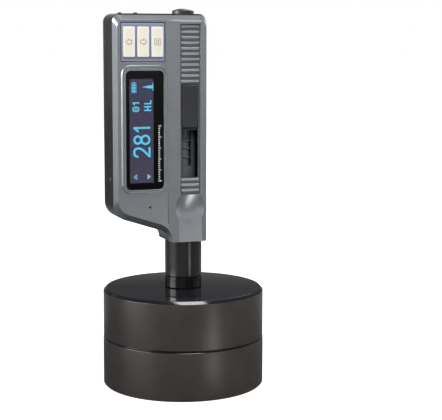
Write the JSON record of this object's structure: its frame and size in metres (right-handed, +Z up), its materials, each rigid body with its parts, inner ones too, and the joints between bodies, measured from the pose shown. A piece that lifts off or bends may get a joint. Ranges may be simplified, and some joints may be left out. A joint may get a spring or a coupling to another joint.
{
  "type": "hardness tester",
  "caption": "Hand-held rebound hardness tester with readout, keys, thumb loading slider, release button and guide tube, standing on a round steel test block.",
  "frame": {"origin": "middle of the test block's underside, on the guide tube's axis", "axes": "+Z up along the guide tube, readout and keys face -Y, the readout side of the case lies towards -X of the tube"},
  "size_m": [0.0904, 0.0904, 0.21],
  "materials": {
    "block_steel": "polished test face, ground sides, blackened",
    "shell_grey": "fine-textured satin",
    "shell_charcoal": "satin",
    "lens": "clear acrylic",
    "mask_black": "printed black",
    "oled": "lit readout",
    "foam": "open foam",
    "plate_lavender": "satin",
    "silicone": "matt",
    "switch_metal": "stamped",
    "board_green": "solder mask",
    "chip_black": "moulded",
    "cell_wrap": "foil",
    "screw_steel": "blackened",
    "tube_black": "black anodised, polished",
    "bobbin": "moulded",
    "copper": "enamelled wire",
    "lead_black": "sleeved",
    "bronze": "turned",
    "spring_steel": "drawn",
    "slider_charcoal": "satin",
    "carriage_steel": "turned",
    "carbide": "polished",
    "magnet": "plated",
    "button_black": "satin",
    "key_cream": "satin",
    "rubber_black": "matt"
  },
  "bodies": {
    "test_block": {"test_block": "block_steel"},
    "tester": {"front_shell": "shell_grey", "rear_shell": "shell_charcoal", "display_window": "lens", "window_mask": "mask_black", "display_module": "oled", "display_cushion": "foam", "key_plate": "plate_lavender", "keypad_mat": "silicone", "key_switches": "switch_metal", "main_board": "board_green", "board_chips": "chip_black", "buzzer": "chip_black", "usb_socket": "switch_metal", "battery": "cell_wrap", "battery_tape": "foam", "battery_lead": "lead_black", "case_screws": "screw_steel", "side_screw": "screw_steel", "guide_tube": "tube_black", "support_ring": "tube_black", "coil_bobbin": "bobbin", "coil_winding": "copper", "coil_lead": "lead_black", "guide_bush": "bronze", "end_bush": "bronze", "loading_spring": "spring_steel", "impact_spring": "spring_steel", "button_spring": "spring_steel"},
    "slider": {"load_slider": "slider_charcoal", "carriage": "carriage_steel", "catch_chuck": "carriage_steel"},
    "striker": {"impact_body": "carriage_steel", "impact_nose": "carriage_steel", "ball_tip": "carbide", "impact_magnet": "magnet"},
    "release": {"release_button": "button_black", "release_rod": "carriage_steel"},
    "key_left": {"key_left": "key_cream"},
    "key_middle": {"key_middle": "key_cream"},
    "key_right": {"key_right": "key_cream"},
    "port_flap": {"port_flap": "rubber_black"}
  },
  "joints": [
    {"name": "tester_lift", "type": "slide", "parent": "test_block", "child": "tester", "axis": [0, 0, 1], "range_m": [0, 0.06]},
    {"name": "slider_load", "type": "slide", "parent": "tester", "child": "slider", "axis": [0, 0, 1], "range_m": [-0.025, 0], "stiffness_N_per_m": 220, "springref_m": 0.004, "deforming": ["loading_spring"]},
    {"name": "striker_slide", "type": "slide", "parent": "tester", "child": "striker", "axis": [0, 0, 1], "range_m": [0, 0.025], "deforming": ["impact_spring"]},
    {"name": "release_press", "type": "slide", "parent": "tester", "child": "release", "axis": [0, 0, -1], "range_m": [0, 0.0022], "stiffness_N_per_m": 1200, "springref_m": -0.001, "deforming": ["button_spring"]},
    {"name": "key_left_press", "type": "slide", "parent": "tester", "child": "key_left", "axis": [0, 1, 0], "range_m": [0, 0.0008], "stiffness_N_per_m": 1500, "springref_m": -0.0003},
    {"name": "key_middle_press", "type": "slide", "parent": "tester", "child": "key_middle", "axis": [0, 1, 0], "range_m": [0, 0.0008], "stiffness_N_per_m": 1500, "springref_m": -0.0003},
    {"name": "key_right_press", "type": "slide", "parent": "tester", "child": "key_right", "axis": [0, 1, 0], "range_m": [0, 0.0008], "stiffness_N_per_m": 1500, "springref_m": -0.0003},
    {"name": "port_flap_open", "type": "hinge", "parent": "tester", "child": "port_flap", "pos_m": [-0.038, -0.0024, 0.207], "axis": [0, -1, 0], "range_deg": [0, 100]}
  ]
}
